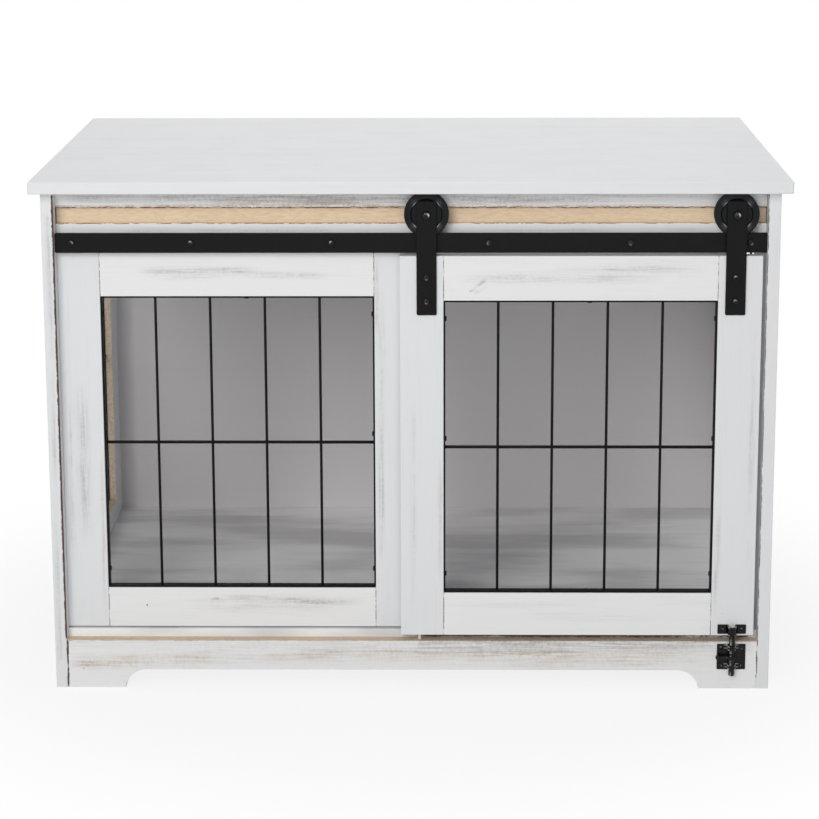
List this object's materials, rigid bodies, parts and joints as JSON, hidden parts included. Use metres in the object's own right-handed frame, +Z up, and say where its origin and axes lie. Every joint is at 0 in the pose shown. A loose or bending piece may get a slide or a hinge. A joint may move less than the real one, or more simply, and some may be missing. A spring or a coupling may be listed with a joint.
{
  "type": "pet crate",
  "caption": "Cabinet-shaped pet crate with barred windows, a barred door that slides on rollers along a flat track, and a barrel bolt.",
  "frame": {"origin": "under the middle of the top board, on the ground", "axes": "+X to the right seen from the front, +Y to the back, +Z up"},
  "size_m": [0.98, 0.62, 0.69],
  "materials": {
    "white_board": "white painted board with a worn, faintly grained surface",
    "black_steel": "satin black powder coat",
    "black_screws": "black oxide with bright worn spots",
    "bare_fittings": "zinc",
    "dowel_wood": "plain beech",
    "guide_plastic": "pale nylon"
  },
  "bodies": {
    "cabinet": {"top_panel": "white_board", "left_side_panel": "white_board", "right_side_panel": "white_board", "back_panel": "white_board", "floor_panel": "white_board", "front_apron": "white_board", "rear_rail": "white_board", "header_board": "white_board", "fixed_left_stile": "white_board", "fixed_right_stile": "white_board", "fixed_top_rail": "white_board", "fixed_bottom_rail": "white_board", "fixed_grille": "black_steel", "fixed_grille_screws": "black_screws", "left_window_grille": "black_steel", "right_window_grille": "black_steel", "window_grille_screws": "black_screws", "door_track": "black_steel", "track_spacers": "black_steel", "track_bolts": "black_screws", "guide_pin": "guide_plastic", "bolt_plate": "black_steel", "bolt_plate_screws": "black_screws", "cam_locks": "bare_fittings", "cam_bolts": "bare_fittings", "dowels": "dowel_wood", "back_screws": "bare_fittings"},
    "door": {"door_left_stile": "white_board", "door_right_stile": "white_board", "door_top_rail": "white_board", "door_bottom_rail": "white_board", "door_grille": "black_steel", "door_grille_screws": "black_screws", "left_hanger_strap": "black_steel", "right_hanger_strap": "black_steel", "strap_screws": "black_screws", "left_axle_bolt": "black_screws", "right_axle_bolt": "black_screws", "axle_nuts": "black_screws", "keeper_plate": "black_steel", "keeper_screws": "black_screws"},
    "left_roller": {"left_roller": "black_steel"},
    "right_roller": {"right_roller": "black_steel"},
    "bolt_rod": {"bolt_rod": "black_steel"},
    "bolt_knob": {"bolt_knob": "black_steel"}
  },
  "joints": [
    {"name": "door_slide", "type": "slide", "parent": "cabinet", "child": "door", "axis": [-1, 0, 0], "range_m": [0, 0.44]},
    {"name": "left_roller_spin", "type": "hinge", "parent": "door", "child": "left_roller", "pos_m": [0.021, -0.281, 0.6436], "axis": [0, -1, 0], "continuous": true},
    {"name": "right_roller_spin", "type": "hinge", "parent": "door", "child": "right_roller", "pos_m": [0.421, -0.281, 0.6436], "axis": [0, -1, 0], "continuous": true},
    {"name": "bolt_slide", "type": "slide", "parent": "cabinet", "child": "bolt_rod", "axis": [0, 0, 1], "range_m": [-0.006, 0.008]},
    {"name": "bolt_turn", "type": "hinge", "parent": "bolt_rod", "child": "bolt_knob", "pos_m": [0.427, -0.2949, 0.046], "axis": [0, 0, 1], "range_deg": [0, 180]}
  ],
  "couplings": [
    {"joint": "left_roller_spin", "follows": "door_slide", "rad_per_m": 40.816},
    {"joint": "right_roller_spin", "follows": "door_slide", "rad_per_m": 40.816}
  ]
}
